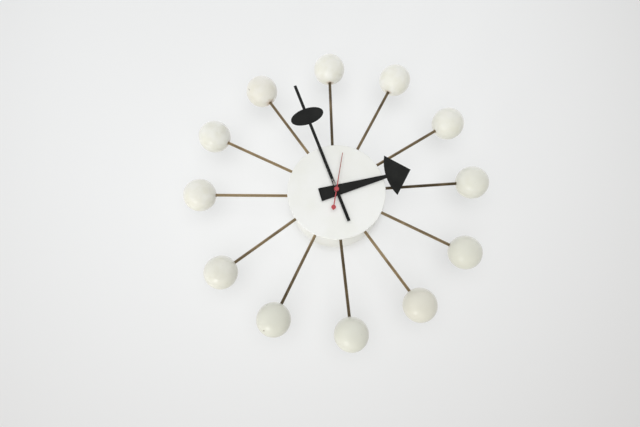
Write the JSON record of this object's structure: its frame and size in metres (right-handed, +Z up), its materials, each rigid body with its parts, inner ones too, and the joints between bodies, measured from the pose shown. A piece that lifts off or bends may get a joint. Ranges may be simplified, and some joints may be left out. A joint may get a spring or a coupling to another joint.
{
  "type": "ball wall clock",
  "caption": "Wall clock with a bare white drum dial, wooden balls on brass spokes as hour marks, arrow, oval and needle hands, and a battery quartz movement inside.",
  "frame": {"origin": "on the hands' axis, in the plane of the wall that the back cover rests against", "axes": "+X to the right as seen from the front, +Y into the wall, +Z up to twelve o'clock"},
  "size_m": [0.3278, 0.0668, 0.3307],
  "materials": {
    "white_enamel": "satin white enamel on sheet steel",
    "zinc_plated_steel": "zinc plated",
    "aged_brass": "drawn rod, tarnished brown",
    "painted_wood": "turned wood under aged cream paint",
    "black_plastic": "moulded, fine texture",
    "bright_brass": "turned",
    "rubber": "matt",
    "circuit_board": "solder mask",
    "crystal_can": "tinned",
    "chip_epoxy": "glossy epoxy drop",
    "white_plastic": "moulded acetal",
    "copper_wire": "enamelled copper wire, closely wound",
    "silicon_steel": "stamped",
    "magnet": "sintered",
    "battery_sleeve": "plain grey sleeve",
    "black_hand_paint": "satin black paint on sheet",
    "red_hand_paint": "red paint on sheet"
  },
  "bodies": {
    "case": {"dial_plate": "white_enamel", "case_drum": "white_enamel", "front_ring": "white_enamel", "rear_ring": "white_enamel", "back_cover": "white_enamel", "dial_nuts": "zinc_plated_steel", "cover_screws": "zinc_plated_steel", "spoke_nuts": "zinc_plated_steel", "contact_positive": "zinc_plated_steel", "contact_negative": "zinc_plated_steel", "spoke_01": "aged_brass", "spoke_02": "aged_brass", "spoke_03": "aged_brass", "spoke_04": "aged_brass", "spoke_05": "aged_brass", "spoke_06": "aged_brass", "spoke_07": "aged_brass", "spoke_08": "aged_brass", "spoke_09": "aged_brass", "spoke_10": "aged_brass", "spoke_11": "aged_brass", "spoke_12": "aged_brass", "ball_01": "painted_wood", "ball_02": "painted_wood", "ball_03": "painted_wood", "ball_04": "painted_wood", "ball_05": "painted_wood", "ball_06": "painted_wood", "ball_07": "painted_wood", "ball_08": "painted_wood", "ball_09": "painted_wood", "ball_10": "painted_wood", "ball_11": "painted_wood", "ball_12": "painted_wood", "movement_front": "black_plastic", "movement_rear": "black_plastic", "centre_bush": "bright_brass", "bush_washer": "bright_brass", "bush_nut": "bright_brass", "bush_gasket": "rubber", "circuit_board": "circuit_board", "quartz_crystal": "crystal_can", "ic_chip": "chip_epoxy", "coil_bobbin": "white_plastic", "coil_winding": "copper_wire", "stator": "silicon_steel", "battery": "battery_sleeve"},
    "rotor": {"rotor_magnet": "magnet", "rotor_pinion": "white_plastic"},
    "intermediate": {"intermediate_wheel": "white_plastic"},
    "seconds": {"second_wheel": "white_plastic", "second_hand": "red_hand_paint"},
    "third": {"third_wheel": "white_plastic"},
    "centre": {"centre_wheel": "white_plastic"},
    "minutes": {"minute_pipe": "bright_brass", "minute_hand": "black_hand_paint"},
    "motion_work": {"minute_wheel": "white_plastic", "setting_knob": "white_plastic"},
    "hours": {"hour_wheel": "white_plastic", "hour_hand": "black_hand_paint"}
  },
  "joints": [
    {"name": "second_hand_turn", "type": "hinge", "parent": "case", "child": "seconds", "pos_m": [0, 0, 0], "axis": [0, 1, 0], "continuous": true},
    {"name": "rotor_turn", "type": "hinge", "parent": "case", "child": "rotor", "pos_m": [-0.01355, 0, 0.01267], "axis": [0, 1, 0], "continuous": true},
    {"name": "intermediate_turn", "type": "hinge", "parent": "case", "child": "intermediate", "pos_m": [-0.00935, 0, 0.0054], "axis": [0, 1, 0], "continuous": true},
    {"name": "third_turn", "type": "hinge", "parent": "case", "child": "third", "pos_m": [0.00958, 0, 0.00349], "axis": [0, 1, 0], "continuous": true},
    {"name": "centre_turn", "type": "hinge", "parent": "case", "child": "centre", "pos_m": [0, 0, 0], "axis": [0, 1, 0], "continuous": true},
    {"name": "minute_hand_turn", "type": "hinge", "parent": "case", "child": "minutes", "pos_m": [0, 0, 0], "axis": [0, 1, 0], "continuous": true},
    {"name": "setting_knob_turn", "type": "hinge", "parent": "case", "child": "motion_work", "pos_m": [0, 0, 0.0108], "axis": [0, 1, 0], "continuous": true},
    {"name": "hour_hand_turn", "type": "hinge", "parent": "case", "child": "hours", "pos_m": [0, 0, 0], "axis": [0, 1, 0], "continuous": true}
  ],
  "couplings": [
    {"joint": "rotor_turn", "follows": "second_hand_turn", "ratio": 30},
    {"joint": "intermediate_turn", "follows": "second_hand_turn", "ratio": -5},
    {"joint": "third_turn", "follows": "second_hand_turn", "ratio": -0.125},
    {"joint": "centre_turn", "follows": "second_hand_turn", "ratio": 0.016667},
    {"joint": "setting_knob_turn", "follows": "minute_hand_turn", "ratio": -0.33333},
    {"joint": "hour_hand_turn", "follows": "minute_hand_turn", "ratio": 0.083333}
  ]
}
